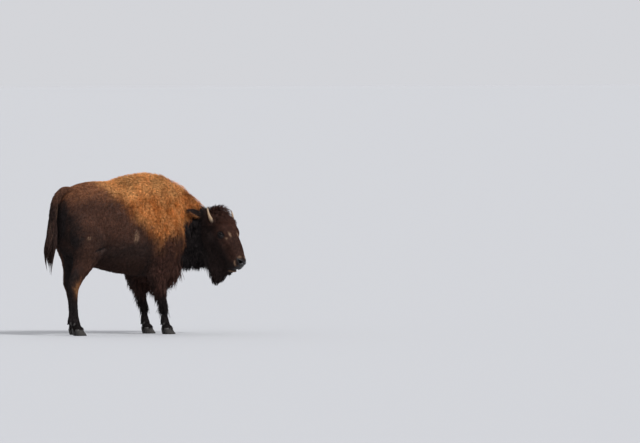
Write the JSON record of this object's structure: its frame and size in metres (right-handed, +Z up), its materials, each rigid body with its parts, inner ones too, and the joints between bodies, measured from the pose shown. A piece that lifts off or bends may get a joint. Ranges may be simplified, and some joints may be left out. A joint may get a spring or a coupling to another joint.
{
  "type": "american bison",
  "caption": "Life-size still model of a young American bison cow, standing with its head turned to its right.",
  "frame": {"origin": "on the floor, at the middle of the whole animal's base rectangle", "axes": "+X the way the trunk faces, +Y to the animal's left, +Z up; the head is turned about 73 degrees to the right of +X"},
  "size_m": [1.9538, 0.8806, 1.4976],
  "materials": {
    "body_coat": "dense woolly coat, golden brown over the hump and brown behind, matte",
    "dark_coat": "shaggy blackish brown hair, matte with a faint sheen",
    "horn": "satin horn, pale with grey-black base and tip",
    "hoof": "satin dark hoof horn with fine growth rings",
    "eye": "wet, dark brown eye"
  },
  "bodies": {
    "root": {"beard": "dark_coat", "dewclaw_fore_left_inner": "hoof", "dewclaw_fore_left_outer": "hoof", "dewclaw_fore_right_inner": "hoof", "dewclaw_fore_right_outer": "hoof", "dewclaw_hind_left_inner": "hoof", "dewclaw_hind_left_outer": "hoof", "dewclaw_hind_right_inner": "hoof", "dewclaw_hind_right_outer": "hoof", "ear_left": "dark_coat", "ear_right": "dark_coat", "eye_left": "eye", "eye_right": "eye", "foreleg_lower_left": "dark_coat", "foreleg_lower_right": "dark_coat", "foreleg_upper_left": "body_coat", "foreleg_upper_right": "body_coat", "head": "dark_coat", "hindleg_lower_left": "dark_coat", "hindleg_lower_right": "dark_coat", "hindleg_upper_left": "body_coat", "hindleg_upper_right": "body_coat", "hoof_fore_left_inner": "hoof", "hoof_fore_left_outer": "hoof", "hoof_fore_right_inner": "hoof", "hoof_fore_right_outer": "hoof", "hoof_hind_left_inner": "hoof", "hoof_hind_left_outer": "hoof", "hoof_hind_right_inner": "hoof", "hoof_hind_right_outer": "hoof", "horn_left": "horn", "horn_right": "horn", "neck": "body_coat", "tail": "body_coat", "tail_switch": "dark_coat", "trunk": "body_coat"}
  },
  "joints": []
}
